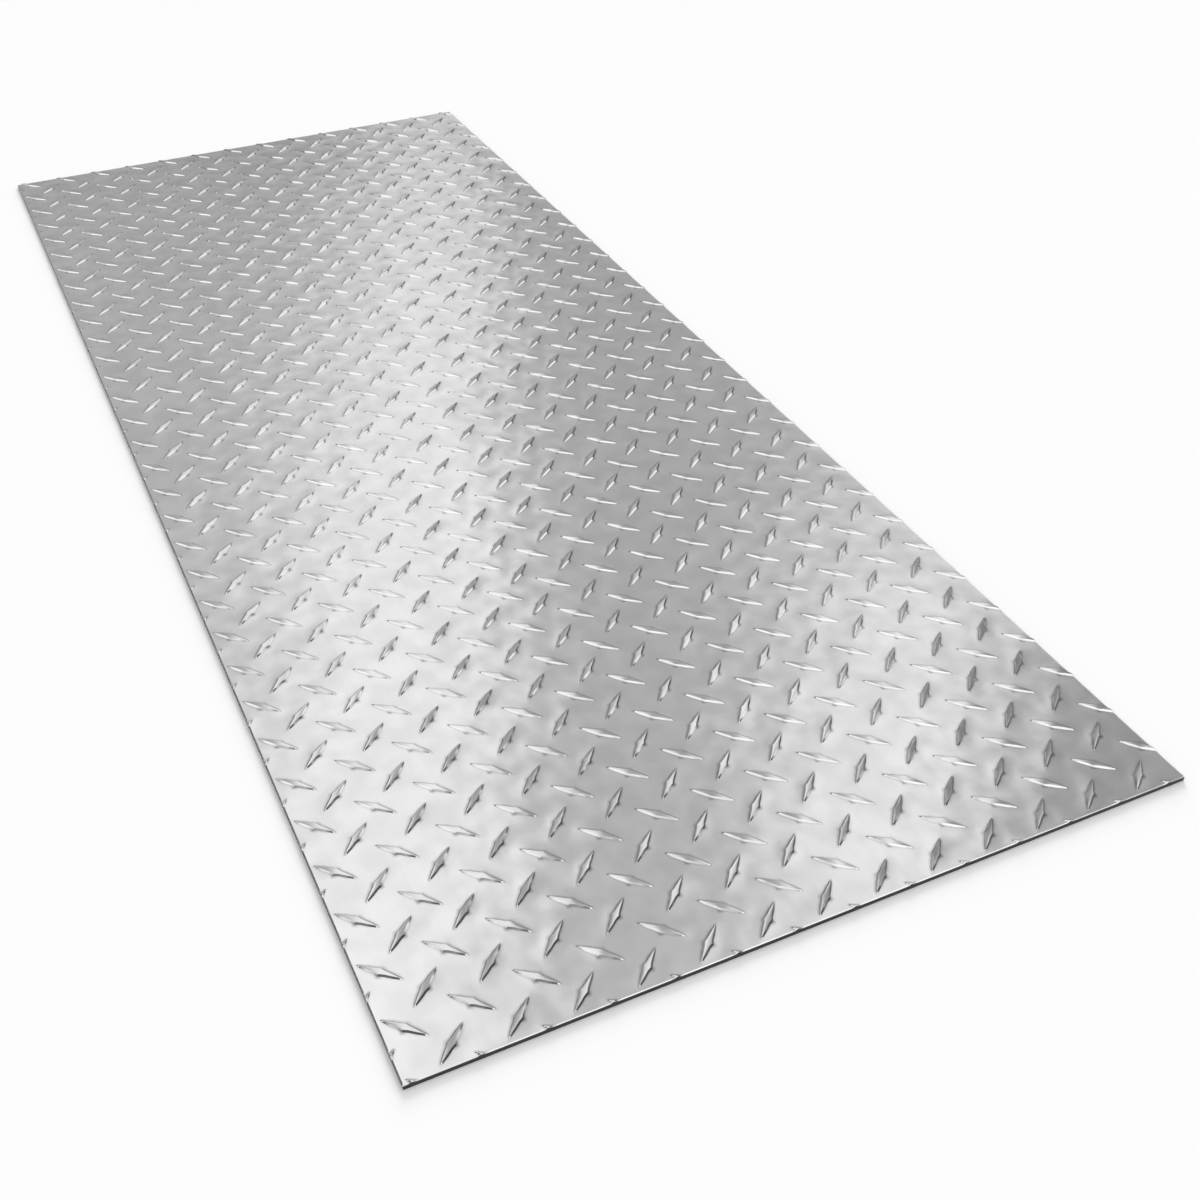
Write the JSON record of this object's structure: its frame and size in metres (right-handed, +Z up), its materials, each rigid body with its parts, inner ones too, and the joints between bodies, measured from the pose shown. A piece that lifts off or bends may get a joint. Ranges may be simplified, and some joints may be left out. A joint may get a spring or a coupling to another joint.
{
  "type": "aluminum tread plate",
  "caption": "Flat rectangular aluminum sheet with a rolled pattern of raised diamond lugs that alternate in direction, sheared to size, for non-slip floors, ramps, steps and guards.",
  "frame": {"origin": "middle of the flat underside", "axes": "+X across the sheet, +Y along its length, +Z up, out of the face with the lugs"},
  "size_m": [0.6096, 1.524, 0.0056],
  "materials": {
    "mill_aluminium": "bright rolled finish, satin, with fine handling marks"
  },
  "bodies": {
    "root": {"tread_plate": "mill_aluminium"}
  },
  "joints": []
}
